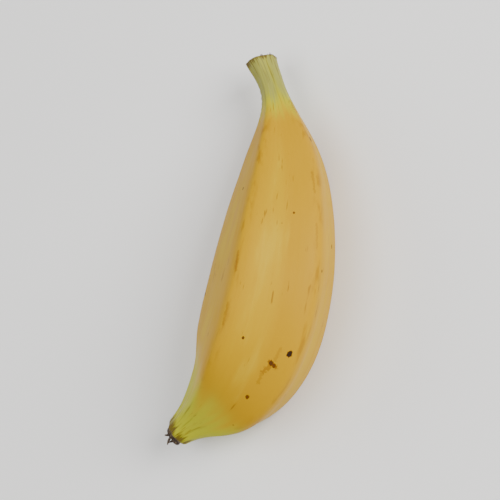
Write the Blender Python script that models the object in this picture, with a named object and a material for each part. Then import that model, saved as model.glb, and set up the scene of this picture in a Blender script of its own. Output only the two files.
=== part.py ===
"""A small dessert banana, picked and cut from its hand, lying on its side on a flat surface.

The fruit is one grown piece: a five-ridged body that narrows into a short stem with a cut end, and
at the other end into a neck with the dried remains of the flower.

Frame: the stem points to +X, the outer side of the bend faces -Y, and the fruit rests on Z = 0.
"""

import math

import bmesh
import bpy
import numpy as np
from mathutils import Vector

# Driving dimensions in metres
LENGTH = 0.134  # along the middle of the fruit, from the cut stem to the blossom end
WIDTH = 0.0368  # across the fullest part
PRESSED_FLAT = 0.0006  # how far the soft body would sink below the surface that it rests on
AXIS_LOW = 0.0122  # height that the middle line never goes below, so stem and tip stay clear
AXIS_BLEND = 0.0017  # how softly the middle line leaves that height

# Share of the length from the cut stem, and share of the greatest width there
GIRTH = (
    (0.000, 0.258),
    (0.030, 0.222),
    (0.075, 0.207),
    (0.125, 0.278),
    (0.190, 0.460),
    (0.260, 0.650),
    (0.340, 0.805),
    (0.440, 0.925),
    (0.540, 0.987),
    (0.630, 1.000),
    (0.710, 0.968),
    (0.780, 0.880),
    (0.840, 0.735),
    (0.890, 0.560),
    (0.930, 0.415),
    (0.965, 0.310),
    (1.000, 0.250),
)
# Share of the length, and degrees between the fruit's direction and a line from stem to tip
BEND = (
    (0.00, 42.0),
    (0.06, 37.0),
    (0.12, 30.0),
    (0.20, 22.5),
    (0.30, 18.0),
    (0.40, 14.5),
    (0.50, 9.0),
    (0.60, 0.5),
    (0.70, -13.0),
    (0.78, -28.0),
    (0.85, -39.0),
    (0.90, -43.0),
    (0.95, -43.5),
    (1.00, -42.0),
)
# The five faces of the cross-section: the way each one faces, in degrees from the outer side of
# the bend towards the top, and its distance from the middle as a share of the radius
RESTING_FACE = (270.0, 0.90)
FACES = (RESTING_FACE, (341.0, 0.92), (57.0, 0.90), (129.0, 0.91), (201.0, 0.91))
# Share of the length, and how sharp the ridges between the faces are
RIDGE_SHARPNESS = (
    (0.00, 4.5),
    (0.12, 7.0),
    (0.26, 8.0),
    (0.45, 7.5),
    (0.70, 7.5),
    (0.86, 8.0),
    (1.00, 5.0),
)
RADII_ACROSS = 1.90  # width of that cross-section

# The ends, built up in rings from the last ring of the peel: each one's share of that ring's width,
# how far out along the fruit it lies, in metres, and how far its lobes stand out, as a share
CUT_SLANT = math.radians(12)  # how far the knife's cut leans from square to the stem
CUT_RINGS = ((0.965, 0.0003, 0.0), (0.800, 0.0002, 0.0), (0.720, -0.0004, 0.0))
BLOSSOM_RINGS = (
    (0.930, 0.0006, 0.00),
    (0.800, 0.0011, 0.00),
    (0.690, 0.0011, 0.03),
    (0.640, 0.0024, 0.07),
    (0.560, 0.0030, 0.07),
    (0.380, 0.0025, 0.03),
)
LOBES = 3

# Resolution
SIDES = 50
RINGS = 60
CROWDING = 0.055  # how much closer the rings stand where stem and tip narrow

PEEL_COLOUR = (0.78, 0.50, 0.085, 1.0)


def clear_scene():
    for obj in list(bpy.data.objects):
        bpy.data.objects.remove(obj, do_unlink=True)


def spline(stations, at):
    """A natural cubic spline through the stations, read at each share of the length in at."""
    x, y = np.array(stations, float).T
    step = np.diff(x)
    slope = np.diff(y) / step
    matrix = np.eye(len(x))
    right = np.zeros(len(x))
    for i in range(1, len(x) - 1):
        matrix[i, i - 1 : i + 2] = step[i - 1], 2 * (step[i - 1] + step[i]), step[i]
        right[i] = 6 * (slope[i] - slope[i - 1])
    bow = np.linalg.solve(matrix, right)
    i = np.clip(np.searchsorted(x, at, side="right") - 1, 0, len(x) - 2)
    a, b = at - x[i], x[i + 1] - at
    curved = (bow[i] * b**3 + bow[i + 1] * a**3) / (6 * step[i])
    straight = (y[i] / step[i] - bow[i] * step[i] / 6) * b + (y[i + 1] / step[i] - bow[i + 1] * step[i] / 6) * a
    return curved + straight


def section_radius(angle, sharpness):
    """Radius of the rounded five-sided section in the direction angle, for a radius of 1.

    It is one over the power mean of how far that direction reaches towards each face: the higher the
    power, the nearer to a plain pentagon and the sharper its ridges.
    """
    reach = sum(
        max(0.0, math.cos(angle - math.radians(faces)) / distance) ** sharpness for faces, distance in FACES
    )
    return reach ** (-1 / sharpness)


def middle_line(share):
    """Points of the fruit's middle line, the way out of its bend there, and its radius, at each share."""
    fine = np.linspace(0, 1, 2001)
    bend = np.radians(spline(BEND, fine))
    way = np.stack([-np.cos(bend), -np.sin(bend)], axis=1)
    path = np.cumsum(way, axis=0) * LENGTH / (len(fine) - 1)
    chord = path[0] - path[-1]
    turn = -math.atan2(chord[1], chord[0])
    turned = np.array([[math.cos(turn), -math.sin(turn)], [math.sin(turn), math.cos(turn)]])
    path = path @ turned.T
    bend = bend + turn
    radius = spline(GIRTH, share) * WIDTH / RADII_ACROSS
    lifted = radius * RESTING_FACE[1] - PRESSED_FLAT
    height = (lifted + AXIS_LOW + np.sqrt((lifted - AXIS_LOW) ** 2 + AXIS_BLEND**2)) / 2
    at = np.interp(share, fine, bend)
    points = np.stack([np.interp(share, fine, path[:, 0]), np.interp(share, fine, path[:, 1]), height], axis=1)
    outward = np.stack([np.sin(at), -np.cos(at), np.zeros_like(at)], axis=1)
    return points, outward, radius


def ring_shares():
    """Shares of the length for the rings, closer together where stem and tip narrow."""
    even = np.linspace(0, 1, RINGS)
    return even - CROWDING * np.sin(2 * math.pi * even)


def banana_mesh():
    """A capped cylinder primitive, cut into rings, with each vertex carried to its place on the fruit."""
    bm = bmesh.new()
    bmesh.ops.create_cone(bm, cap_ends=True, segments=SIDES, radius1=1, radius2=1, depth=1)
    long_edges = [e for e in bm.edges if abs(e.verts[0].co.z - e.verts[1].co.z) > 0.5]
    bmesh.ops.subdivide_edges(bm, edges=long_edges, cuts=RINGS - 2, use_grid_fill=True)
    shares = ring_shares()
    points, outward, radius = middle_line(shares)
    sharpness = spline(RIDGE_SHARPNESS, shares)
    for vert in bm.verts:
        ring = round((0.5 - vert.co.z) * (RINGS - 1))
        angle = math.atan2(vert.co.y, vert.co.x)
        reach = radius[ring] * section_radius(angle, sharpness[ring])
        place = points[ring] + reach * (math.cos(angle) * outward[ring] + math.sin(angle) * np.array((0, 0, 1)))
        vert.co = place
    shape_cut(bm, points, outward)
    shape_blossom_end(bm, points)
    for vert in bm.verts:
        vert.co.z = max(vert.co.z, 0.0)
    bmesh.ops.recalc_face_normals(bm, faces=bm.faces)
    return bm


def end_face(bm, near):
    """The many-sided cap nearest to a point."""
    caps = [f for f in bm.faces if len(f.verts) == SIDES]
    return min(caps, key=lambda f: (f.calc_center_median() - Vector(near)).length)


def add_rings(bm, cap, along, rings):
    """Extrudes an end face ring by ring, each one narrower or wider and further out or in than the last."""
    middle = cap.calc_center_median()
    reaches = [vert.co - middle for vert in cap.verts]
    for width, out, lobe_depth in rings:
        cap = bmesh.ops.extrude_discrete_faces(bm, faces=[cap])["faces"][0]
        for i, vert in enumerate(cap.verts):
            lobe = 1 + lobe_depth * math.cos(LOBES * 2 * math.pi * i / SIDES)
            vert.co = middle + reaches[i] * width * lobe + along * out


def shape_cut(bm, points, outward):
    """The slanted knife cut across the stem: a rounded rim of peel round a shallow dish of fibres."""
    along = Vector(points[0] - points[1]).normalized()
    out = Vector(outward[0])
    cap = end_face(bm, points[0])
    middle = cap.calc_center_median()
    for vert in cap.verts:
        vert.co -= along * (vert.co - middle).dot(out) * math.tan(CUT_SLANT)
    add_rings(bm, cap, along, CUT_RINGS)


def shape_blossom_end(bm, points):
    """The blossom end: a rounded shoulder of peel, and the dried flower's stub standing out of it."""
    along = Vector(points[-1] - points[-2]).normalized()
    add_rings(bm, end_face(bm, points[-1]), along, BLOSSOM_RINGS)


def peel_material():
    material = bpy.data.materials.new("banana_peel")
    material.use_nodes = True
    shader = material.node_tree.nodes["Principled BSDF"]
    shader.inputs["Base Color"].default_value = PEEL_COLOUR
    shader.inputs["Roughness"].default_value = 0.42
    shader.inputs["Metallic"].default_value = 0.0
    return material


def build():
    clear_scene()
    bm = banana_mesh()
    mesh = bpy.data.meshes.new("banana")
    bm.to_mesh(mesh)
    bm.free()
    corners = np.array([v.co for v in mesh.vertices])
    centre = (corners.min(axis=0) + corners.max(axis=0)) / 2
    for vert in mesh.vertices:
        vert.co.x -= centre[0]
        vert.co.y -= centre[1]
    mesh.shade_smooth()
    mesh.set_sharp_from_angle(angle=math.radians(50))
    mesh.materials.append(peel_material())
    collection = bpy.data.collections.new("banana")
    bpy.context.scene.collection.children.link(collection)
    banana = bpy.data.objects.new("banana", mesh)
    collection.objects.link(banana)


build()
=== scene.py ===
"""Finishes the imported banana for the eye: its peel, its cut stem, its dried flower and the studio.

The banana lies along X with its stem at +X, the outer side of its bend faces -Y, and Z = 0 is the
surface that it rests on. Lengths are in metres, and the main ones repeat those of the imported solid.
"""

import functools
import itertools
import math

import bpy
import numpy as np
from bpy.props import FloatProperty, FloatVectorProperty, PointerProperty
from mathutils import Matrix, Vector


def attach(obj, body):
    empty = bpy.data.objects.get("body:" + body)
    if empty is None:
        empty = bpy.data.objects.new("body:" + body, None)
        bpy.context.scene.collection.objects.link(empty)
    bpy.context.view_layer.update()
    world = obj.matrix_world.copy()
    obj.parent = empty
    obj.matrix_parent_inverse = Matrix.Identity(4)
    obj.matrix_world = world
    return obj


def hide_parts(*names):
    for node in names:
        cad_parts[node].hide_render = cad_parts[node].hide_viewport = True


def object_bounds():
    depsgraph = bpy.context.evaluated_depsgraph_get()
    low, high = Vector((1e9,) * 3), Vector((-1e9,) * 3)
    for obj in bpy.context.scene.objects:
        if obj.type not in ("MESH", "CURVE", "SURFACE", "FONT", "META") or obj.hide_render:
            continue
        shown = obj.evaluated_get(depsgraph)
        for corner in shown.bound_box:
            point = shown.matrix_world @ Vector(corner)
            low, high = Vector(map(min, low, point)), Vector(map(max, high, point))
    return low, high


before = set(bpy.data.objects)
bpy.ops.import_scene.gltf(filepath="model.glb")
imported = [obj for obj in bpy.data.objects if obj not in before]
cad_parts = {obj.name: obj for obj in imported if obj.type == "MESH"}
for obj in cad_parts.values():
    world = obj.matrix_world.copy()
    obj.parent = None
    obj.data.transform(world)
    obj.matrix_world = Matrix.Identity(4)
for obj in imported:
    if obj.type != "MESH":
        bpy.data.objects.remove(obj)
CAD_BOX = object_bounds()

bl_info = {
    "name": "Banana",
    "version": (1, 0, 0),
    "blender": (4, 5, 0),
    "location": "3D View > Sidebar > Banana",
    "description": "Builds a small ripe banana, lying on its side in a plain studio",
    "category": "Mesh",
}

NODE = "banana"


def paint(red, green, blue):
    """The linear colour of a paint picker's values from 0 to 255."""
    share = np.array((red, green, blue)) / 255
    linear = np.where(share <= 0.04045, share / 12.92, ((share + 0.055) / 1.055) ** 2.4)
    return tuple(float(value) for value in linear)


# Shape of the fruit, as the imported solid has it

# Share of the length from the cut stem, and share of the greatest width there
GIRTH = (
    (0.000, 0.258),
    (0.030, 0.222),
    (0.075, 0.207),
    (0.125, 0.278),
    (0.190, 0.460),
    (0.260, 0.650),
    (0.340, 0.805),
    (0.440, 0.925),
    (0.540, 0.987),
    (0.630, 1.000),
    (0.710, 0.968),
    (0.780, 0.880),
    (0.840, 0.735),
    (0.890, 0.560),
    (0.930, 0.415),
    (0.965, 0.310),
    (1.000, 0.250),
)
# Share of the length, and degrees between the fruit's direction and a line from stem to tip
BEND = (
    (0.00, 42.0),
    (0.06, 37.0),
    (0.12, 30.0),
    (0.20, 22.5),
    (0.30, 18.0),
    (0.40, 14.5),
    (0.50, 9.0),
    (0.60, 0.5),
    (0.70, -13.0),
    (0.78, -28.0),
    (0.85, -39.0),
    (0.90, -43.0),
    (0.95, -43.5),
    (1.00, -42.0),
)
# Where each face of the section faces, in degrees from the outer side of the bend towards the top,
# and its distance from the middle as a share of the radius
RESTING_FACE = (270.0, 0.90)
FACES = (RESTING_FACE, (341.0, 0.92), (57.0, 0.90), (129.0, 0.91), (201.0, 0.91))
RADII_ACROSS = 1.90  # width of that section
# Share of the length, and how sharp the ridges between the faces are: sharper than on the solid
RIDGE_SHARPNESS = (
    (0.00, 4.5),
    (0.12, 8.0),
    (0.26, 10.5),
    (0.45, 10.5),
    (0.70, 10.5),
    (0.86, 10.5),
    (1.00, 5.0),
)
# The two ends: share of the width there, how far out along the fruit, and how far lobes stand out
CUT_PROFILE = (
    (0.000, -0.0004, 0.0),
    (0.720, -0.0004, 0.0),
    (0.800, 0.0002, 0.0),
    (0.965, 0.0003, 0.0),
    (1.000, 0.0000, 0.0),
)
BLOSSOM_PROFILE = (
    (1.000, 0.0000, 0.00),
    (0.930, 0.0006, 0.00),
    (0.800, 0.0011, 0.00),
    (0.690, 0.0011, 0.03),
    (0.640, 0.0024, 0.07),
    (0.560, 0.0030, 0.07),
    (0.380, 0.0025, 0.03),
    (0.000, 0.0022, 0.00),
)
LOBES = 3
CUT_SLANT_REACH = 0.011  # share of the length over which the slant of the cut fades away
END_STEP = 0.004  # share of the length over which the direction of an end is read

# Fineness of the peel
BODY_ROWS = 236
CUT_ROWS = 24
BLOSSOM_ROWS = 34
COLUMNS = 320
CROWDING = 0.055  # how much closer the rows stand where stem and tip narrow
BEND_STEPS = 2001  # points that the middle line is summed from

# Relief of the peel

# Smooth random unevenness: the size of its cells along the fruit and across it, and its seed
CLOUDS = {
    "broken line": (0.006, 0.004, 11),
    "swells": (0.024, 0.013, 12),
    "small swells": (0.010, 0.005, 13),
    "fibres": (0.012, 0.0006, 14),
    "stem ribs": (0.020, 0.0055, 15),
    "fine stem ribs": (0.007, 0.0020, 16),
    "tip ribs": (0.018, 0.0042, 17),
    "folds": (0.004, 0.004, 18),
    "crumples": (0.0012, 0.0012, 21),
    "fine crumples": (0.0006, 0.0006, 22),
}
LATTICE = 32  # cells each way before the unevenness repeats
UNROLLED_RADIUS = 0.012  # of the even cylinder on which lines that follow the fruit are laid out

# Shares of the length over which a form comes in, from nothing to full
STEM_FORM = (0.17, 0.04)
TIP_FORM = (0.86, 0.985)
NECK_BEGINS = (0.03, 0.08)
NECK_ENDS = (0.17, 0.11)

# The raised line on each ridge: parts of its height, and their half widths
RIDGE_LINE = ((0.75, 0.0020), (0.25, 0.0006))
LINE_BREAKS = 0.35  # share of its height that comes and goes
LINE_AT_ENDS = 0.35  # share of its height that is left on stem and tip
SMALL_SWELLS = 0.3  # height of the small swells, as a share of the slow ones
FINE_RIBS = 0.35  # height of the fine ribs on the stem, as a share of the others

# Folds across the inner side of the neck
FOLD_SPACING = 0.0019
FOLD_HEIGHT = 0.00007
FOLD_WANDER = 2.2  # radians
INNER_SIDE = (0.2, 1.0)  # how far a point faces inwards, from no folds to full ones

# Shallow dents: share of the length, degrees round, radius and depth in metres
DENTS = (
    (0.475, 52.0, 0.0060, 0.00022),
    (0.360, 15.0, 0.0045, 0.00018),
    (0.560, 92.0, 0.0040, 0.00020),
    (0.640, 350.0, 0.0070, 0.00025),
    (0.300, 100.0, 0.0050, 0.00018),
    (0.700, 150.0, 0.0060, 0.00022),
    (0.430, 205.0, 0.0065, 0.00024),
)

# The dry skin of both ends
DRY_WIDTHS = (0.90, 0.60)  # shares of the end's width between which the skin turns dry
DRY_ENOUGH = 0.02  # from here on a face has the material of the end
FINE_CRUMPLES = 0.6  # height of the fine crumples, as a share of the others
CRUMPLES_OUT = 0.7  # how far they also stand out along the fruit, as a share of their height
RELIEF_FADE = 1.4  # how steeply the peel's relief fades towards the middle of an end
CRUMPLE_FADE = 3  # and how steeply the crumples do

# Withered strips round an end: radius of the ring that they start on and how far out it lies, their
# length and half width, and how far they curl away from the middle, as a share of the length
CUT_FIBRES = dict(
    count=30, ring=0.0034, start=-0.0010, length=0.0017, half_width=0.00030, curl=0.12, seed=31
)
FLOWER_STRIPS = dict(
    count=11, ring=0.0017, start=0.0018, length=0.0031, half_width=0.00070, curl=0.42, seed=32
)
FIBRES_ACROSS = 0.7  # share of the cut's width whose colour the torn fibres take
# How strips differ, as shares of their spacing, length, curl and width
STRIP_PLACES = (-0.35, 0.35)
STRIP_LENGTHS = (0.5, 1.2)
STRIP_CURLS = (-0.3, 1.3)
STRIP_WIDTHS = (0.6, 1.2)
STRIP_ROWS = 14
STRIP_SIDES = 12
STRIP_FLATNESS = 0.45  # thickness as a share of the width
STRIP_SHORTENING = 0.3  # how much less far a curled strip reaches out
STRIP_RIPPLE = 0.3  # how much the width swells and narrows
STRIP_SWAY = 0.25  # how far the strip sways sideways, as a share of its length

# Colour of the peel

# Shares of the length over which a colour comes in, from nothing to full
STEM_GREEN = (0.20, 0.075)
TIP_GREEN = (0.76, 0.97)
TIP_GREEN_SKEW = 0.035  # how much later that is on the outer side of the bend
RIDGE_WEAR = (0.05, 0.20)
CUT_EDGE = (0.022, 0.0)
TIP_EDGE = (0.955, 1.0)

WEAR_HALF_WIDTH = 0.0016
SHOULDER_HALF_WIDTH = 0.0060
GOLDEN_BAND = (30.0, 0.008)  # degrees round of the middle of the deeper gold band on one side of the fruit, and its half width

# Noises: the layout that they follow, the size of their marks along the fruit and across it, and detail
PATTERNS = {
    "clouds": ("straight", 0.030, 0.012, 2.0),
    "blotches": ("straight", 0.018, 0.0042, 3.0),
    "fibres": ("unrolled", 0.022, 0.0009, 2.0),
    "fine fibres": ("unrolled", 0.012, 0.0003, 1.0),
    "wear": ("straight", 0.006, 0.0016, 3.0),
    "patches": ("unrolled", 0.030, 0.0030, 2.0),
    "dry lines": ("unrolled", 0.014, 0.0013, 3.0),
    "fraying": ("unrolled", 0.010, 0.0018, 3.0),
    "scuffs": ("unrolled", 0.0055, 0.0006, 2.0),
    "scuffed places": ("straight", 0.011, 0.008, 2.0),
    "pores": ("straight", 0.00045, 0.00045, 2.0),
}
# How much each of these, and each kind of mark, raises the finest relief
FINE_RELIEF = {"fine fibres": 0.35, "fibres": 0.5, "pores": 0.30, "dark": -0.8, "rubbed_and_shaded": 0.5}

FRECKLE_SCALE = 230.0  # cells to the metre
NO_FRECKLE = 0.70  # share of the cells that hold none

# Small spots: share of the length, degrees round, radius in metres and darkness
SPOTS = (
    (0.6700, 26.0, 0.00085, 1.00),
    (0.6965, 37.5, 0.00072, 0.72),
    (0.6986, 34.3, 0.00062, 0.64),
    (0.7420, 4.0, 0.00070, 0.22),
    (0.6720, 72.0, 0.00045, 0.70),
    (0.7730, 41.0, 0.00060, 0.60),
    (0.2230, 8.0, 0.00080, 0.80),
    (0.3980, 44.0, 0.00035, 0.60),
    (0.5120, 12.0, 0.00045, 0.70),
    (0.3320, 118.0, 0.00050, 0.80),
    (0.6100, 158.0, 0.00080, 0.90),
    (0.4550, 335.0, 0.00055, 0.70),
    (0.5400, 225.0, 0.00070, 0.90),
    (0.7450, 300.0, 0.00080, 0.80),
)
# Streaks of rubbing, the last of them painted shade under the ridge at the neck: share and degrees at one end
# and at the other, half width in metres and strength
STREAKS = (
    (0.6958, 39.0, 0.7000, 32.0, 0.00056, 1.00),
    (0.7020, 37.5, 0.7160, 41.0, 0.00075, 0.62),
    (0.7170, 41.0, 0.7380, 39.5, 0.00060, 0.35),
    (0.6680, 34.5, 0.6880, 35.0, 0.00060, 0.32),
    (0.3050, 24.0, 0.3500, 23.0, 0.00040, 0.40),
    (0.4900, 94.0, 0.5350, 92.5, 0.00045, 0.45),
    (0.6100, 93.0, 0.6600, 92.0, 0.00040, 0.35),
    (0.4200, 22.0, 0.4700, 21.0, 0.00035, 0.30),
    (0.5700, 168.0, 0.6150, 166.0, 0.00050, 0.70),
    (0.2500, 306.0, 0.3100, 305.0, 0.00040, 0.60),
    # Painted shade: the olive-brown shadow under the ridge where the neck meets the body
    (0.1300, 11.0, 0.1500, 12.0, 0.00120, 0.45),
)
# Their edges: a noise, how far it moves the edge, and between which shares of that a mark fades
SPOT_EDGE = {"scale": 1500.0, "detail": 1.0, "noise": (0.25, 0.75), "reach": (0.8, 1.2), "fade": (1.15, 0.75)}
STREAK_EDGE = {"scale": 1900.0, "detail": 3.0, "noise": (0.3, 0.7), "reach": (0.35, 1.4), "fade": (1.3, 0.6)}

# Studio

FLOOR_RINGS = 12
FLOOR_SIDES = 96
FLOOR_HUB = 0.02  # share of the way out where the rings start, before it is squared
# Place of each lamp and width of its round face
LAMPS = {
    "key": ((0.40, -0.82, 0.58), 0.6),
    "top": ((-0.10, 0.15, 1.25), 1.0),
    "fill": ((-0.10, 0.98, 0.45), 0.8),
}
LAMP_AIM = (0, 0, 0.015)


def length_property(name, description, default):
    """A length that a user may change."""
    return FloatProperty(name=name, description=description, default=default, unit="LENGTH")


def angle_property(name, description, degrees):
    """An angle that a user may change, with its default in degrees."""
    return FloatProperty(name=name, description=description, default=math.radians(degrees), subtype="ANGLE")


def power_property(name, default):
    """The power of a lamp, which a user may change."""
    return FloatProperty(name=name, description="Power in watts", default=default, unit="POWER")


def colour_property(name, description, *picked):
    """A colour that a user may change, with its default as a paint picker's values."""
    return FloatVectorProperty(name=name, description=description, default=paint(*picked), subtype="COLOR")


class BananaShape(bpy.types.PropertyGroup):
    """Sizes of the fruit and of its relief."""

    length: length_property("Length", "Along the middle of the fruit, from the cut to the blossom end", 0.134)
    width: length_property("Width", "Across the fullest part", 0.0368)
    pressed_flat: length_property(
        "Pressed flat", "How far the soft body would sink below the surface that it rests on", 0.0006
    )
    axis_low: length_property(
        "Lowest middle", "Height that the middle line never goes below, so stem and tip stay clear", 0.0122
    )
    axis_blend: length_property("Softness", "How softly the middle line rises from that height", 0.0017)
    cut_slant: angle_property("Slant of the cut", "How far the knife's cut leans from square to the stem", 12)
    keel: length_property("Ridge line", "Height of the raised line on each ridge", 0.00022)
    swell: length_property("Unevenness", "Slow swells and hollows of the peel", 0.00026)
    fibres: length_property("Fibres", "Fine lines along the peel", 0.00002)
    stem_ribs: length_property("Stem ribs", "Ribs and folds along the stem", 0.00042)
    tip_ribs: length_property("Tip ribs", "Folds that run into the blossom end", 0.00034)
    shrivel: length_property("Shrivelling", "Crumples of the dried skin at both ends", 0.00030)


class BananaColours(bpy.types.PropertyGroup):
    """Colours of the peel and of the two ends."""

    ripe: colour_property("Ripe peel", "Main yellow", 187, 147, 0)
    gold: colour_property("Gold", "Warmer clouds in the yellow", 181, 136, 0)
    light: colour_property("Light peel", "Paler yellow of the faces", 194, 161, 28)
    green: colour_property("Green", "Unripe tinge of both ends", 174, 173, 26)
    olive: colour_property("Stem", "Olive green of the stem", 146, 144, 66)
    husk: colour_property("Stem streaks", "Dry brown lines on stem and tip", 84, 60, 26)
    # This colour also paints the shade under the ridge at the neck
    rub_and_shade: colour_property("Rubbed peel", "Streaks and rubbed ridges", 120, 68, 10)
    spot: colour_property("Spots", "Small dark spots", 46, 28, 12)
    cut: colour_property("Cut", "Dry fibres of the cut stem", 116, 96, 58)
    cut_rim: colour_property("Cut rim", "Browned rim of the cut", 58, 42, 24)
    dried: colour_property("Dried flower", "Dark stub at the blossom end", 52, 38, 26)
    # Painted highlight: grey on the crests of the dried flower's wrinkles
    crest_highlight: colour_property("Dried edges", "Greyed crests of the dried flower", 118, 96, 68)


class BananaStudio(bpy.types.PropertyGroup):
    """Floor, camera and lamps."""

    floor_radius: length_property("Floor", "Radius of the floor", 4.0)
    floor_colour: colour_property("Floor colour", "Plain pale floor", 247, 246, 244)
    camera_height: angle_property("Camera height", "Angle of the view above the floor", 57)
    camera_lean: angle_property("Lean", "How far the fruit leans to the right in the picture", 12.6)
    camera_distance: length_property("Distance", "From the camera to the middle of the fruit", 0.60)
    picture_right: length_property("Aim to the right", "Off the middle of the fruit's box", -0.0040)
    picture_up: length_property("Aim above", "Off the middle of the fruit's box", 0.0025)
    lens: FloatProperty(name="Lens", description="Focal length in millimetres", default=140.0, unit="CAMERA")
    key_power: power_property("Key lamp", 16.0)
    top_power: power_property("Top lamp", 8.0)
    fill_power: power_property("Fill lamp", 3.5)
    sky: FloatProperty(name="Room light", description="Strength of the light from all round", default=0.38)


# Geometry


def spline(stations, at):
    """A natural cubic spline through the stations, read at each share of the length in at."""
    x, y = np.array(stations, float).T
    step = np.diff(x)
    slope = np.diff(y) / step
    matrix = np.eye(len(x))
    right = np.zeros(len(x))
    for i in range(1, len(x) - 1):
        matrix[i, i - 1 : i + 2] = step[i - 1], 2 * (step[i - 1] + step[i]), step[i]
        right[i] = 6 * (slope[i] - slope[i - 1])
    bow = np.linalg.solve(matrix, right)
    i = np.clip(np.searchsorted(x, at, side="right") - 1, 0, len(x) - 2)
    a, b = at - x[i], x[i + 1] - at
    curved = (bow[i] * b**3 + bow[i + 1] * a**3) / (6 * step[i])
    falling = (y[i] / step[i] - bow[i] * step[i] / 6) * b
    rising = (y[i + 1] / step[i] - bow[i + 1] * step[i] / 6) * a
    return curved + (falling + rising)


def smooth_step(low, high, value):
    """Rises from 0 at low to 1 at high as 3t^2 - 2t^3, or falls where low is the greater one."""
    t = np.clip((value - low) / (high - low), 0, 1)
    return t * t * (3 - 2 * t)


def cloud(points, name):
    """Smooth random values from -1 to 1: random numbers on a lattice, blended by 3t^2 - 2t^3."""
    along, across, seed = CLOUDS[name]
    table = np.random.default_rng(seed).uniform(-1, 1, (LATTICE, LATTICE, LATTICE))
    at = points / np.array((along, across, across))
    low = np.floor(at).astype(int)
    t = at - low
    t = t * t * (3 - 2 * t)
    blended = np.zeros(points.shape[:-1])
    for corner in itertools.product((0, 1), repeat=3):
        x, y, z = np.moveaxis((low + corner) % LATTICE, -1, 0)
        blended += np.prod(np.where(corner, t, 1 - t), axis=-1) * table[x, y, z]
    return blended


def section(angle, sharpness):
    """Radius of the rounded five-sided section in the direction angle, for a radius of 1.

    It is one over the power mean of how far that direction reaches towards each face.
    """
    reach = 0
    for facing, distance in FACES:
        reach = reach + np.maximum(0.0, np.cos(angle - math.radians(facing)) / distance) ** sharpness
    return reach ** (-1 / sharpness)


def ridge_angles():
    """Where neighbouring faces of the section meet: there both are equally far along that direction."""
    faces = sorted((math.radians(facing), distance) for facing, distance in FACES)
    angles = []
    for (a, da), (b, db) in zip(faces, faces[1:] + faces[:1]):
        angle = math.atan2(db * math.cos(a) - da * math.cos(b), da * math.sin(b) - db * math.sin(a))
        turned_away = math.cos(angle - a) < 0
        angles.append(angle + math.pi * turned_away)
    return angles


def middle_line(shape, share):
    """Points of the fruit's middle line, the way out of its bend there, and its radius, at each share.

    The line is the sum of short steps in the direction of the bend, turned so that its ends lie
    along X. Its height is the radius towards the resting face, blended with the lowest height.
    """
    fine = np.linspace(0, 1, BEND_STEPS)
    bend = np.radians(spline(BEND, fine))
    way = np.stack([-np.cos(bend), -np.sin(bend)], axis=1)
    path = np.cumsum(way, axis=0) * shape.length / (len(fine) - 1)
    chord = path[0] - path[-1]
    turn = -math.atan2(chord[1], chord[0])
    turned = np.array([[math.cos(turn), -math.sin(turn)], [math.sin(turn), math.cos(turn)]])
    path = path @ turned.T
    bend = bend + turn
    radius = spline(GIRTH, share) * shape.width / RADII_ACROSS
    lifted = radius * RESTING_FACE[1] - shape.pressed_flat
    height = (lifted + shape.axis_low + np.sqrt((lifted - shape.axis_low) ** 2 + shape.axis_blend**2)) / 2
    x, y = (np.interp(share, fine, column) for column in path.T)
    at = np.interp(share, fine, bend)
    outward = np.stack([np.sin(at), -np.cos(at), np.zeros_like(at)], axis=1)
    return np.stack([x, y, height], axis=1), outward, radius


def way_out(shape, end):
    """The direction out of the fruit at an end, which is named by its share of the length, 0 or 1."""
    points = middle_line(shape, np.array([end, abs(end - END_STEP)]))[0]
    along = points[0] - points[1]
    return along / np.linalg.norm(along)


def profile_rows(profile, end_radius, rows):
    """Rows at equal steps along an end's profile, its corners rounded by averaging neighbours twice."""
    stations = np.array(profile)
    gaps = np.hypot(np.diff(stations[:, 0]) * end_radius, np.diff(stations[:, 1]))
    walked = np.concatenate([[0], np.cumsum(gaps)])
    at = np.linspace(0, walked[-1], rows)
    read = np.stack([np.interp(at, walked, column) for column in stations.T], axis=1)
    for _ in range(2):
        read[1:-1] = (read[:-2] + 2 * read[1:-1] + read[2:]) / 4
    return read


def fruit_rows(shape):
    """Every row of the peel from the middle of the cut to the middle of the dried flower.

    Gives each row's share of the length, its width as a share of the width there, how far out
    beyond the end it lies, and the height of its lobes. The two outermost rows are single points.
    """
    even = np.linspace(0, 1, BODY_ROWS)
    body = even - CROWDING * np.sin(2 * math.pi * even)
    stem_radius, tip_radius = spline(GIRTH, np.array([0.0, 1.0])) * shape.width / RADII_ACROSS
    cut = profile_rows(CUT_PROFILE, stem_radius, CUT_ROWS)[:-1]
    blossom = profile_rows(BLOSSOM_PROFILE, tip_radius, BLOSSOM_ROWS)[1:]
    plain = np.tile((1.0, 0.0, 0.0), (BODY_ROWS, 1))
    share = np.concatenate([np.zeros(len(cut)), body, np.ones(len(blossom))])
    width, out, lobes = np.concatenate([cut, plain, blossom]).T
    return share, width, out, lobes


def distance_round(angle, middle, reach):
    """How far each point is from the angle middle, measured round the fruit."""
    return np.angle(np.exp(1j * (angle - middle))) * reach


def bell(angle, middle, reach, half_width):
    """A bell curve of that half width, by the distance round the fruit from the angle of its middle."""
    return np.exp(-((distance_round(angle, middle, reach) / half_width) ** 2))


def keels(angle, reach, half_width):
    """The sum of the bell curves across every ridge."""
    return sum(bell(angle, ridge, reach, half_width) for ridge in ridge_angles())


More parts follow.
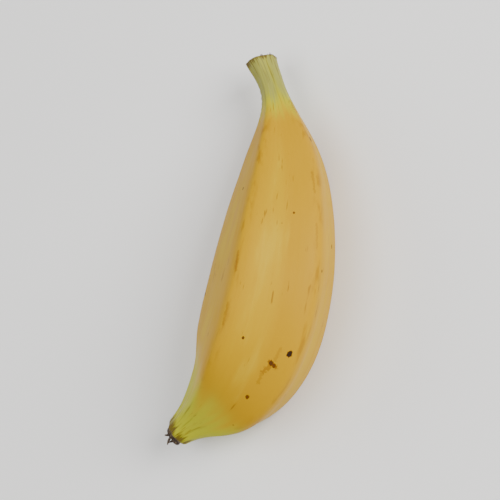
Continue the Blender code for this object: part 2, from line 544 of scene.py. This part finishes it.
def peel_relief(shape, share, angle, reach, straight, unrolled):
    """Height of the fine relief above the plain surface.

    The sum of a line on each ridge, slow swells, fibres along the peel, ribs along the stem and
    into the tip, folds across the neck, and round dents with a bell-shaped hollow.
    """
    stem = smooth_step(*STEM_FORM, share)
    tip = smooth_step(*TIP_FORM, share)
    body = (1 - stem) * (1 - tip)
    broken = (1 - LINE_BREAKS) + LINE_BREAKS * cloud(straight, "broken line")
    crest = sum(part * keels(angle, reach, half_width) for part, half_width in RIDGE_LINE)
    height = shape.keel * broken * crest * (LINE_AT_ENDS + (1 - LINE_AT_ENDS) * body)
    height += shape.swell * cloud(straight, "swells") * body
    height += SMALL_SWELLS * shape.swell * cloud(straight, "small swells") * (1 - stem)
    height += shape.fibres * cloud(unrolled, "fibres")
    height += shape.stem_ribs * stem * cloud(unrolled, "stem ribs")
    height += FINE_RIBS * shape.stem_ribs * stem * cloud(unrolled, "fine stem ribs")
    height += shape.tip_ribs * tip * cloud(unrolled, "tip ribs")
    inner_side = smooth_step(*INNER_SIDE, -np.cos(angle))
    neck = smooth_step(*NECK_BEGINS, share) * smooth_step(*NECK_ENDS, share)
    fold = np.sin(2 * math.pi * straight[..., 0] / FOLD_SPACING + FOLD_WANDER * cloud(straight, "folds"))
    height += FOLD_HEIGHT * fold * neck * inner_side
    for dent_share, degrees, radius, depth in DENTS:
        along = (share - dent_share) * shape.length
        beside = distance_round(angle, math.radians(degrees), reach)
        height -= depth * np.exp(-(along**2 + beside**2) / radius**2)
    return height


def straight_place(shape, share, degrees):
    """The place of a mark on the fruit as if it were straight: along X, with its bend undone."""
    at = np.array([share])
    sharpness = spline(RIDGE_SHARPNESS, at)
    angle = math.radians(degrees)
    reach = (spline(GIRTH, at) * shape.width / RADII_ACROSS * section(angle, sharpness))[0]
    return (share * shape.length, reach * math.cos(angle), reach * math.sin(angle))


def laid_out(shape, share, angle, spread, beyond):
    """Points on the fruit, from how far each stands from the middle line and how far beyond the end.

    Near the cut the points slide along the stem with the tangent of the cut's slant.
    """
    points, outward, _ = middle_line(shape, share)
    end_way = np.where(share[:, None] < 0.5, way_out(shape, 0.0), way_out(shape, 1.0))
    slant = smooth_step(CUT_SLANT_REACH, 0, share)[:, None] * math.tan(shape.cut_slant) * np.cos(angle)
    sideways = np.cos(angle)[None, :, None] * outward[:, None]
    upright = np.sin(angle)[None, :, None] * np.array((0.0, 0.0, 1.0))
    away = spread[..., None] * (sideways + upright)
    return points[:, None] + away + (beyond - slant * spread)[..., None] * end_way[:, None]


def plain_rows(shape):
    """The rows without relief: share, width, distance beyond the end, the angles round the fruit, the
    section's reach there, and how far each point stands from the middle line."""
    share, width, out, lobes = fruit_rows(shape)
    angle = np.linspace(0, 2 * math.pi, COLUMNS, endpoint=False)
    radius = middle_line(shape, share)[2]
    reach = radius[:, None] * section(angle[None, :], spline(RIDGE_SHARPNESS, share)[:, None])
    lobed = 1 + lobes[:, None] * np.cos(LOBES * angle)[None, :]
    return share, width, out, angle, reach, reach * width[:, None] * lobed


def fruit_centre(shape):
    """Middle of the plain fruit's box from side to side and from end to end."""
    share, _, out, angle, _, plain = plain_rows(shape)
    points = laid_out(shape, share, angle, plain, out[:, None])
    centre = (points.min(axis=(0, 1)) + points.max(axis=(0, 1))) / 2
    centre[2] = 0
    return centre


def straightened(along, angle, across):
    """Points round a straight line: along it, and across it times the cosine and sine of the angle."""
    return np.stack([along, across * np.cos(angle), across * np.sin(angle)], axis=-1)


def peel_masks(share, angle, reach):
    """How strongly each colour or kind of wear shows at every point."""
    tip_begins, tip_full = TIP_GREEN
    band_degrees, band_half_width = GOLDEN_BAND
    return {
        "ridge": keels(angle, reach, WEAR_HALF_WIDTH) * smooth_step(*RIDGE_WEAR, share),
        "shoulder": keels(angle, reach, SHOULDER_HALF_WIDTH),
        "band": bell(angle, math.radians(band_degrees), reach, band_half_width),
        "stem": smooth_step(*STEM_GREEN, share),
        "tip": smooth_step(tip_begins + TIP_GREEN_SKEW * np.cos(angle), tip_full, share),
        "edge": np.maximum(smooth_step(*CUT_EDGE, share), smooth_step(*TIP_EDGE, share)),
    }


def fruit_surface(shape):
    """The whole skin over two parameters, the row along the fruit and the angle round it.

    A point is the middle line's point, plus how far out the row lies along the fruit, plus the
    section's reach and the relief in the direction of its angle. Below Z = 0 it is pressed flat.
    Gives the points, the values that the materials read, and how dry each row is.
    """
    share, width, out, angle, reach, plain = plain_rows(shape)
    along = np.broadcast_to((share * shape.length + np.sign(share - 0.5) * out)[:, None], reach.shape)
    straight = straightened(along, angle, reach * width[:, None])
    unrolled = straightened(along, angle, np.full_like(reach, UNROLLED_RADIUS))
    share_grid = np.broadcast_to(share[:, None], reach.shape)
    angle_grid = np.broadcast_to(angle[None, :], reach.shape)
    height = peel_relief(shape, share_grid, angle_grid, reach, straight, unrolled)
    dry = smooth_step(*DRY_WIDTHS, width)[:, None]
    crumple = cloud(straight, "crumples") + FINE_CRUMPLES * cloud(straight, "fine crumples")
    spread = plain + height * np.minimum(1, width * RELIEF_FADE)[:, None]
    spread += shape.shrivel * dry * crumple * np.minimum(1, width * CRUMPLE_FADE)[:, None]
    beyond = out[:, None] + CRUMPLES_OUT * shape.shrivel * dry * crumple
    surface = laid_out(shape, share, angle, spread, beyond)
    surface -= fruit_centre(shape)
    surface[..., 2] = np.maximum(surface[..., 2], 0.0)
    values = peel_masks(share_grid, angle_grid, reach)
    values.update(straight=straight, unrolled=unrolled, across=np.broadcast_to(width[:, None], reach.shape))
    return surface, values, np.broadcast_to(dry, reach.shape)


def end_frame(shape, end):
    """Where an end of the middle line lies, the way out of the fruit there, and the ways across it."""
    points, outward, _ = middle_line(shape, np.array([end]))
    return points[0] - fruit_centre(shape), way_out(shape, end), outward[0], np.array((0.0, 0.0, 1.0))


def tuft(frame_of_end, strips):
    """Withered strips round an end, over two parameters: how far along the strip, and round it.

    Each one starts on a ring round the end, runs out and curls away from the middle with the square
    of the first parameter, tapers with the root of what is left of it, and sways by a sine.
    """
    origin, along, outward, upward = frame_of_end
    rng = np.random.default_rng(strips["seed"])
    count = strips["count"]

    def varied(span):
        return rng.uniform(*span, count)[:, None, None]

    turn = (np.arange(count)[:, None, None] + varied(STRIP_PLACES)) * 2 * math.pi / count
    length = strips["length"] * varied(STRIP_LENGTHS)
    curl = strips["curl"] * varied(STRIP_CURLS)
    u = np.linspace(0, 1, STRIP_ROWS)[None, :, None]
    handed = np.dot(np.cross(outward, upward), along)
    v = -np.sign(handed) * np.linspace(0, 2 * math.pi, STRIP_SIDES, endpoint=False)[None, None, :]
    half = strips["half_width"] * np.sqrt(1 - u) * varied(STRIP_WIDTHS)
    out = strips["start"] + length * (u - STRIP_SHORTENING * np.abs(curl) * u**2)
    radial = strips["ring"] + length * curl * u**2 + STRIP_FLATNESS * half * np.sin(v)
    around = half * np.cos(v) * (1 + STRIP_RIPPLE * np.sin(5 * u + 9 * turn))
    around = around + STRIP_SWAY * length * np.sin(3 * u + 7 * turn) * u
    radial_way = np.cos(turn)[..., None] * outward + np.sin(turn)[..., None] * upward
    around_way = -np.sin(turn)[..., None] * outward + np.cos(turn)[..., None] * upward
    out = np.broadcast_to(out, around.shape)
    points = origin + out[..., None] * along + radial[..., None] * radial_way + around[..., None] * around_way
    flat = np.stack([pole_order(grid) for grid in points])
    quads, fans = skin_faces(STRIP_ROWS - 2, STRIP_SIDES)
    faces = [(part + strip * flat.shape[1]).tolist() for strip in range(count) for part in (quads, fans)]
    return flat.reshape(-1, 3), list(itertools.chain.from_iterable(faces))


def pole_order(grid):
    """The values of a skin's vertices: the rows between the poles, then the first pole and the last."""
    between = grid[1:-1].reshape(-1, *grid.shape[2:])
    return np.concatenate([between, grid[:1, 0], grid[-1:, 0]])


def skin_faces(rows, columns):
    """Quads between neighbouring rows, with the last column joined to the first, and a fan at each pole.

    The vertices are in the order that pole_order gives.
    """
    row, column = np.meshgrid(np.arange(rows - 1), np.arange(columns), indexing="ij")
    near, far = row * columns, (row + 1) * columns
    beside = (column + 1) % columns
    quads = np.stack([near + column, near + beside, far + beside, far + column], axis=-1).reshape(-1, 4)
    here = np.arange(columns)
    there = (here + 1) % columns
    first, last = rows * columns, rows * columns + 1
    end = (rows - 1) * columns
    start_fan = np.stack([np.full(columns, first), there, here], axis=1)
    end_fan = np.stack([np.full(columns, last), end + here, end + there], axis=1)
    return quads, np.concatenate([start_fan, end_fan])


def new_piece(name, points, faces, materials):
    """A smooth mesh object at the origin that rides on the fruit's one body."""
    mesh = bpy.data.meshes.new(name)
    mesh.from_pydata(points.tolist(), [], faces)
    mesh.shade_smooth()
    for material in materials:
        mesh.materials.append(material)
    piece = bpy.data.objects.new(name, mesh)
    bpy.context.scene.collection.objects.link(piece)
    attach(piece, "root")
    return piece


def add_attribute(mesh, name, values):
    """Stores a value or a vector for every vertex."""
    kind, key = ("FLOAT_VECTOR", "vector") if values.ndim == 2 else ("FLOAT", "value")
    attribute = mesh.attributes.new(name, kind, "POINT")
    attribute.data.foreach_set(key, np.ascontiguousarray(values, dtype=np.float32).ravel())


# Nodes


def add_node(kind, inputs, **settings):
    """Adds a node to the tree of the outputs that it reads, sets its options, and fills its inputs."""
    tree = next(value.id_data for value in inputs.values() if isinstance(value, bpy.types.NodeSocket))
    node = tree.nodes.new(f"ShaderNode{kind}")
    for option, value in settings.items():
        setattr(node, option, value)
    for key, value in inputs.items():
        if isinstance(value, bpy.types.NodeSocket):
            tree.links.new(value, node.inputs[key])
        else:
            node.inputs[key].default_value = value
    return node


def math_node(operation, *values, clamp=False):
    """The result of a Math node on two values or outputs."""
    return add_node("Math", dict(enumerate(values)), operation=operation, use_clamp=clamp).outputs[0]


def chained(operation, values):
    """The result of a Math node on the first two values, of another on that and the third, and so on."""
    return functools.reduce(functools.partial(math_node, operation), values)


def product(*values):
    return chained("MULTIPLY", values)


def total(*values):
    return chained("ADD", values)


def greatest(*values):
    return chained("MAXIMUM", values)


def vector_node(operation, inputs, output=0):
    """The result of a Vector Math node. A distance or a dot product is its output 1."""
    return add_node("VectorMath", inputs, operation=operation).outputs[output]


def range_node(value, span, result=(0.0, 1.0)):
    """Maps a value from one range to another with soft ends, and keeps it inside."""
    names = ("Value", "From Min", "From Max", "To Min", "To Max")
    inputs = dict(zip(names, (value, *span, *result)))
    return add_node("MapRange", inputs, interpolation_type="SMOOTHSTEP").outputs["Result"]


def mix_colours(factor, under, over):
    """Lays one colour over another."""
    sockets = [value if isinstance(value, bpy.types.NodeSocket) else (*value, 1.0) for value in (under, over)]
    return add_node("Mix", {0: factor, 6: sockets[0], 7: sockets[1]}, data_type="RGBA").outputs[2]


def noise_node(place, scale, detail):
    return add_node("TexNoise", {"Vector": place, "Scale": scale, "Detail": detail}).outputs["Fac"]


def add_bump(tree, shader, strength, distance, height):
    bump = add_node("Bump", {"Strength": strength, "Distance": distance, "Height": height})
    tree.links.new(bump.outputs[0], shader.inputs["Normal"])


def read_attribute(tree, name, output="Fac"):
    node = tree.nodes.new("ShaderNodeAttribute")
    node.attribute_name = name
    return node.outputs[output]


def read_place(tree):
    return tree.nodes.new("ShaderNodeTexCoord").outputs["Object"]


def new_group(name, inputs, output):
    """A shader node group with inputs given as name: default, or None for a vector, and one output."""
    group = bpy.data.node_groups.new(name, "ShaderNodeTree")
    for label, default in inputs.items():
        kind = "NodeSocketVector" if default is None else "NodeSocketFloat"
        socket = group.interface.new_socket(name=label, in_out="INPUT", socket_type=kind)
        if default is not None:
            socket.default_value = default
    group.interface.new_socket(name=output, in_out="OUTPUT", socket_type="NodeSocketFloat")
    return group, group.nodes.new("NodeGroupInput").outputs, group.nodes.new("NodeGroupOutput").inputs


def place_group(group, inputs):
    return add_node("Group", inputs, node_tree=group).outputs[0]


# Effects


def grain_group():
    """Noise that can be drawn out along the fruit: Grain, from 0 to 1. It is built once and shared."""
    if "peel_grain" in bpy.data.node_groups:
        return bpy.data.node_groups["peel_grain"]
    inputs = {"Place": None, "Along": 0.01, "Across": 0.001, "Detail": 2.0}
    group, given, result = new_group("peel_grain", inputs, "Grain")
    parts = add_node("SeparateXYZ", {0: given["Place"]}).outputs
    sizes = (given["Along"], given["Across"], given["Across"])
    scaled = [math_node("DIVIDE", part, size) for part, size in zip(parts, sizes)]
    place = add_node("CombineXYZ", dict(enumerate(scaled))).outputs[0]
    group.links.new(noise_node(place, 1.0, given["Detail"]), result["Grain"])
    return group


def grain(place, along, across, detail):
    """The grain group with its marks of that size along the fruit and across it."""
    inputs = {"Place": place, "Along": along, "Across": across, "Detail": detail}
    return place_group(grain_group(), inputs)


def ragged_mark(place, away, reach, edge):
    """A mask that falls from 1 to 0 where the distance passes the reach, with a noise on the edge."""
    uneven = noise_node(place, edge["scale"], edge["detail"])
    border = product(reach, range_node(uneven, edge["noise"], edge["reach"]))
    return range_node(math_node("DIVIDE", away, border), edge["fade"])


def spot_group():
    """A round mark with a ragged edge: 1 inside, 0 outside."""
    group, given, result = new_group("peel_spot", {"Place": None, "Centre": None, "Radius": 0.001}, "Mask")
    away = vector_node("DISTANCE", {0: given["Place"], 1: given["Centre"]}, 1)
    mask = ragged_mark(given["Place"], away, given["Radius"], SPOT_EDGE)
    group.links.new(mask, result["Mask"])
    return group


def streak_group():
    """A streak between two places with a broken, ragged edge.

    The nearest place on the line is found by projection, and the mask falls with the distance from it.
    """
    inputs = {"Place": None, "Start": None, "Run": None, "Half width": 0.001}
    group, given, result = new_group("peel_streak", inputs, "Mask")
    offset = vector_node("SUBTRACT", {0: given["Place"], 1: given["Start"]})
    along = vector_node("DOT_PRODUCT", {0: offset, 1: given["Run"]}, 1)
    whole = vector_node("DOT_PRODUCT", {0: given["Run"], 1: given["Run"]}, 1)
    share = math_node("DIVIDE", along, whole, clamp=True)
    nearest = vector_node("SCALE", {0: given["Run"], "Scale": share})
    away = vector_node("DISTANCE", {0: offset, 1: nearest}, 1)
    mask = ragged_mark(given["Place"], away, given["Half width"], STREAK_EDGE)
    group.links.new(mask, result["Mask"])
    return group


# Materials


def new_material(name, constants):
    """A material, its tree and its shader, with the constants set on the shader's own sockets."""
    material = bpy.data.materials.new(name)
    material.use_nodes = True
    shader = material.node_tree.nodes["Principled BSDF"]
    for label, value in constants.items():
        shader.inputs[label].default_value = value
    return material, material.node_tree, shader


def spots_mask(shape, place):
    """The greatest of the masks of all spots, each as strong as the spot is dark."""
    group = spot_group()
    masks = []
    for share, degrees, radius, darkness in SPOTS:
        inputs = {"Place": place, "Centre": straight_place(shape, share, degrees), "Radius": radius}
        masks.append(product(place_group(group, inputs), darkness))
    return greatest(*masks)


def streaks_mask(shape, place):
    """The greatest of the masks of all streaks, each with the strength of its streak; the last one is painted
    shade under the ridge at the neck.
    """
    group = streak_group()
    masks = []
    for share, degrees, end_share, end_degrees, half_width, strength in STREAKS:
        start = Vector(straight_place(shape, share, degrees))
        run = Vector(straight_place(shape, end_share, end_degrees)) - start
        inputs = {"Place": place, "Start": start, "Run": run, "Half width": half_width}
        masks.append(product(place_group(group, inputs), strength))
    return greatest(*masks)


def peel_patterns(tree, shape):
    """What the peel is painted with, by name: the values stored on it, the noises and the marks."""
    read = {name: read_attribute(tree, name, "Vector") for name in ("straight", "unrolled")}
    for name in ("ridge", "shoulder", "band", "stem", "tip", "edge", "across"):
        read[name] = read_attribute(tree, name)
    for name, (layout, along, across, detail) in PATTERNS.items():
        read[name] = grain(read[layout], along, across, detail)
    read["greening"] = greatest(read["stem"], read["tip"])
    read["dark"] = spots_mask(shape, read["straight"])
    # Streaks of rubbing, and the painted shade under the ridge at the neck
    read["rubbed_and_shaded"] = streaks_mask(shape, read["straight"])
    dried_ends = greatest(read["stem"], range_node(read["tip"], (0.55, 1.0)))
    dry_lines = range_node(read["dry lines"], (0.54, 0.72), (0.0, 0.75))
    read["husk"] = product(dried_ends, dry_lines)
    return read


def ripe_coats(read, colours):
    """Masks and colours of the yellow peel: warm clouds, the golden band, pale patches, lines and wear."""
    warmth = greatest(
        range_node(read["clouds"], (0.38, 0.66), (0.0, 0.55)),
        range_node(read["shoulder"], (0.15, 1.0), (0.0, 0.75)),
        range_node(read["band"], (0.3, 0.8), (0.0, 0.9)),
    )
    warm = product(warmth, range_node(read["greening"], (0.5, 0.0)))
    deeper_gold = greatest(product(read["shoulder"], 0.20), product(read["band"], 0.28))
    pale = math_node("SUBTRACT", read["blotches"], deeper_gold)
    worn = product(read["ridge"], range_node(read["wear"], (0.47, 0.68), (0.05, 0.75)))
    return (
        (warm, colours.gold),
        (range_node(pale, (0.40, 0.66), (0.0, 0.60)), colours.light),
        (range_node(read["fibres"], (0.54, 0.74), (0.0, 0.30)), colours.gold),
        (product(worn, 0.55), colours.rub_and_shade),
    )


def end_coats(read, colours):
    """Masks and colours of both ends: green in patches, olive on the stem, and dry brown at the edges."""
    patchy = range_node(read["patches"], (0.30, 0.70), (-0.20, 0.20))
    reaching = total(read["greening"], product(read["ridge"], 0.16), patchy)
    near_end = range_node(read["greening"], (0.0, 0.25))
    green = product(range_node(reaching, (0.0, 1.0)), near_end)
    frayed = range_node(read["fraying"], (0.3, 0.7), (-0.45, 0.45))
    edge = total(read["edge"], frayed)
    return (
        (green, colours.green),
        (range_node(total(read["stem"], patchy), (0.55, 1.0)), colours.olive),
        (read["husk"], colours.husk),
        (range_node(edge, (0.45, 1.15), (0.0, 0.85)), colours.husk),
        (range_node(read["across"], (0.995, 0.86)), colours.husk),
    )


def freckles(place):
    """Tiny round marks in the middle of a few cells, of a size that differs from cell to cell."""
    inputs = {"Vector": place, "Scale": FRECKLE_SCALE, "Randomness": 1.0}
    cells = add_node("TexVoronoi", inputs).outputs
    chance = add_node("SeparateColor", {0: cells["Color"]}).outputs[0]
    size = range_node(chance, (NO_FRECKLE, 1.0), (0.0, 0.075))
    inside = range_node(math_node("SUBTRACT", size, cells["Distance"]), (-0.02, 0.03))
    return product(inside, range_node(chance, (NO_FRECKLE, NO_FRECKLE + 0.04)))


def mark_coats(read, colours):
    """Masks and colours of freckles, scuffs, streaks of rubbing with a painted shade under the ridge at the
    neck among them, and spots with their brown rims.
    """
    scuffs = range_node(read["scuffs"], (0.635, 0.72), (0.0, 0.6))
    scuffed = product(scuffs, range_node(read["scuffed places"], (0.50, 0.62)))
    return (
        (product(freckles(read["straight"]), 0.7), colours.rub_and_shade),
        (scuffed, colours.rub_and_shade),
        # Streaks of rubbing, and the painted shade under the ridge at the neck
        (product(read["rubbed_and_shaded"], 0.82), colours.rub_and_shade),
        (range_node(read["dark"], (0.0, 0.5)), colours.rub_and_shade),
        (range_node(read["dark"], (0.3, 1.0)), colours.spot),
    )


def peel_material(shape, colours):
    """Ripe peel: yellow under one coat after another of the other colours, rougher where it is marked."""
    constants = {
        "Subsurface Weight": 0.05,
        "Subsurface Radius": (0.0020, 0.0013, 0.0004),
        "Subsurface Scale": 1.0,
        "Specular IOR Level": 0.10,
    }
    material, tree, shader = new_material("banana_peel", constants)
    read = peel_patterns(tree, shape)
    colour = colours.ripe
    for coats in (ripe_coats, end_coats, mark_coats):
        for mask, over in coats(read, colours):
            colour = mix_colours(mask, colour, over)
    tree.links.new(colour, shader.inputs["Base Color"])
    marked = greatest(read["dark"], read["rubbed_and_shaded"], read["husk"])
    plain_roughness = range_node(read["blotches"], (0.3, 0.7), (0.44, 0.55))
    tree.links.new(total(plain_roughness, product(marked, 0.18)), shader.inputs["Roughness"])
    height = total(*(product(read[name], share) for name, share in FINE_RELIEF.items()))
    add_bump(tree, shader, 0.5, 0.00012, height)
    return material


def cut_material(colours):
    """The cut stem: browned at the rim, with the pale ends of fibre bundles in drier brown pith."""
    if "cut_stem" in bpy.data.materials:
        return bpy.data.materials["cut_stem"]
    material, tree, shader = new_material("cut_stem", {"Roughness": 0.85})
    place = read_place(tree)
    across = read_attribute(tree, "across")
    bundles = add_node("TexVoronoi", {"Vector": place, "Scale": 1500.0}).outputs["Distance"]
    mottle = grain(place, 0.001, 0.0011, 3.0)
    colour = mix_colours(range_node(bundles, (0.25, 0.6)), colours.cut, colours.husk)
    colour = mix_colours(range_node(mottle, (0.42, 0.68), (0.0, 0.7)), colour, colours.cut_rim)
    colour = mix_colours(range_node(across, (0.62, 0.86)), colour, colours.cut_rim)
    tree.links.new(colour, shader.inputs["Base Color"])
    add_bump(tree, shader, 0.8, 0.0002, bundles)
    return material


def dried_material(colours):
    """The dried flower: near black brown with fine wrinkles, and a grey painted highlight on their crests."""
    if "dried_flower" in bpy.data.materials:
        return bpy.data.materials["dried_flower"]
    material, tree, shader = new_material("dried_flower", {"Roughness": 0.8})
    wrinkles = grain(read_place(tree), 0.0016, 0.0005, 4.0)
    # Painted highlight: grey where the wrinkles stand highest
    crests = range_node(wrinkles, (0.48, 0.70), (0.0, 0.75))
    tree.links.new(mix_colours(crests, colours.dried, colours.crest_highlight), shader.inputs["Base Color"])
    add_bump(tree, shader, 0.9, 0.0003, wrinkles)
    return material


def floor_material(colour):
    """Plain matt floor with the faintest unevenness of tone."""
    material, tree, shader = new_material("floor", {"Roughness": 0.75, "Specular IOR Level": 0.25})
    darker = [value * 0.985 for value in colour]
    unevenness = range_node(noise_node(read_place(tree), 6.0, 2.0), (0.3, 0.7))
    tree.links.new(mix_colours(unevenness, colour, darker), shader.inputs["Base Color"])
    return material


# Operators


class BANANA_OT_peel(bpy.types.Operator):
    """Builds the whole skin of the fruit, with its cut stem and dried blossom end"""

    bl_idname = "banana.peel"
    bl_label = "Peel"

    def execute(self, context):
        shape, colours = context.scene.banana_shape, context.scene.banana_colours
        surface, values, dry = fruit_surface(shape)
        quads, fans = skin_faces(surface.shape[0] - 2, COLUMNS)
        materials = [peel_material(shape, colours), cut_material(colours), dried_material(colours)]
        faces = quads.tolist() + fans.tolist()
        piece = new_piece("banana_peel", pole_order(surface), faces, materials)
        for name, value in values.items():
            add_attribute(piece.data, name, pole_order(value))
        corner = np.concatenate([quads[:, 0], fans[:, 1]])
        at_end = pole_order(dry)[corner] > DRY_ENOUGH
        at_stem = pole_order(values["straight"])[corner, 0] < 0.5 * shape.length
        slots = np.where(at_end, np.where(at_stem, 1, 2), 0)
        piece.data.polygons.foreach_set("material_index", slots.astype(np.int32))
        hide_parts(NODE)
        return {"FINISHED"}


class BANANA_OT_cut_fibres(bpy.types.Operator):
    """Adds the torn fibres that stand up round the cut of the stem"""

    bl_idname = "banana.cut_fibres"
    bl_label = "Cut fibres"

    def execute(self, context):
        shape, colours = context.scene.banana_shape, context.scene.banana_colours
        points, faces = tuft(end_frame(shape, 0.0), CUT_FIBRES)
        piece = new_piece("cut_fibres", points, faces, [cut_material(colours)])
        add_attribute(piece.data, "across", np.full(len(points), FIBRES_ACROSS))
        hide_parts(NODE)
        return {"FINISHED"}


class BANANA_OT_flower_remains(bpy.types.Operator):
    """Adds the withered strips of the flower on the stub at the blossom end"""

    bl_idname = "banana.flower_remains"
    bl_label = "Flower remains"

    def execute(self, context):
        shape, colours = context.scene.banana_shape, context.scene.banana_colours
        points, faces = tuft(end_frame(shape, 1.0), FLOWER_STRIPS)
        piece = new_piece("flower_remains", points, faces, [dried_material(colours)])
        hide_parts(NODE)
        return {"FINISHED"}


class BANANA_OT_studio(bpy.types.Operator):
    """Lays the floor and sets up the camera, the lamps and the light of the room"""

    bl_idname = "banana.studio"
    bl_label = "Studio"

    def execute(self, context):
        studio = context.scene.banana_studio
        add_floor(studio)
        add_camera(context.scene, studio)
        for name, (place, size) in LAMPS.items():
            add_lamp(name, place, size, getattr(studio, f"{name}_power"))
        world = bpy.data.worlds.new("room")
        world.use_nodes = True
        background = world.node_tree.nodes["Background"]
        background.inputs["Color"].default_value = (1.0, 1.0, 1.0, 1.0)
        background.inputs["Strength"].default_value = studio.sky
        context.scene.world = world
        return {"FINISHED"}


def add_floor(studio):
    """A flat disc over two parameters, the distance from the middle and the angle round it."""
    distance = studio.floor_radius * np.linspace(FLOOR_HUB, 1, FLOOR_RINGS) ** 2
    angle = np.linspace(0, 2 * math.pi, FLOOR_SIDES, endpoint=False)
    ring = np.stack([np.cos(angle), np.sin(angle), np.zeros_like(angle)], axis=-1)
    points = (distance[:, None, None] * ring).reshape(-1, 3)
    upwards = skin_faces(FLOOR_RINGS, FLOOR_SIDES)[0][:, ::-1]
    middle = list(range(FLOOR_SIDES))
    mesh = bpy.data.meshes.new("floor")
    mesh.from_pydata(points.tolist(), [], upwards.tolist() + [middle])
    mesh.materials.append(floor_material(studio.floor_colour))
    floor = bpy.data.objects.new("floor", mesh)
    bpy.context.scene.collection.objects.link(floor)


def camera_axes(studio):
    """Right, up and back of the camera, which looks on the outer side of the bend from above.

    The stem points up in the picture, then the picture turns until the fruit leans to the right.
    """
    height, lean = studio.camera_height, studio.camera_lean
    back = Vector((0, -math.cos(height), math.sin(height)))
    along = Vector((1, 0, 0))
    beside = along.cross(back)
    right = beside * math.cos(lean) + along * math.sin(lean)
    up = along * math.cos(lean) - beside * math.sin(lean)
    return right, up, back


def add_camera(scene, studio):
    """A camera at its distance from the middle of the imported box, moved a little to frame the fruit."""
    low, high = CAD_BOX
    right, up, back = camera_axes(studio)
    camera = bpy.data.cameras.new("camera")
    camera.lens = studio.lens
    holder = bpy.data.objects.new("camera", camera)
    scene.collection.objects.link(holder)
    turned = Matrix((right, up, back)).transposed().to_4x4()
    aim = (low + high) / 2 + right * studio.picture_right + up * studio.picture_up
    holder.matrix_world = Matrix.Translation(aim + back * studio.camera_distance) @ turned
    scene.camera = holder


def add_lamp(name, place, size, power):
    """A round soft lamp that faces the fruit."""
    lamp = bpy.data.lights.new(name, "AREA")
    lamp.shape = "DISK"
    lamp.size = size
    lamp.energy = power
    holder = bpy.data.objects.new(name, lamp)
    bpy.context.scene.collection.objects.link(holder)
    holder.location = place
    holder.rotation_mode = "QUATERNION"
    holder.rotation_quaternion = (Vector(place) - Vector(LAMP_AIM)).to_track_quat("Z", "Y")


class BANANA_PT_panel(bpy.types.Panel):
    """Sizes, colours and the steps that build the banana"""

    bl_label = "Banana"
    bl_idname = "BANANA_PT_panel"
    bl_space_type = "VIEW_3D"
    bl_region_type = "UI"
    bl_category = "Banana"

    def draw(self, context):
        for name in GROUPS:
            group = getattr(context.scene, name)
            box = self.layout.box()
            for value in group.__annotations__:
                box.prop(group, value)
        for step in STEPS:
            self.layout.operator(step.bl_idname)


STEPS = (BANANA_OT_studio, BANANA_OT_peel, BANANA_OT_cut_fibres, BANANA_OT_flower_remains)
GROUPS = {"banana_shape": BananaShape, "banana_colours": BananaColours, "banana_studio": BananaStudio}
CLASSES = (*GROUPS.values(), *STEPS, BANANA_PT_panel)


def register():
    for kind in CLASSES:
        bpy.utils.register_class(kind)
    for name, kind in GROUPS.items():
        setattr(bpy.types.Scene, name, PointerProperty(type=kind))


def unregister():
    for name in GROUPS:
        delattr(bpy.types.Scene, name)
    for kind in reversed(CLASSES):
        bpy.utils.unregister_class(kind)


def main():
    register()
    bpy.ops.banana.studio()
    bpy.ops.banana.peel()
    bpy.ops.banana.cut_fibres()
    bpy.ops.banana.flower_remains()


if __name__ == "__main__":
    main()
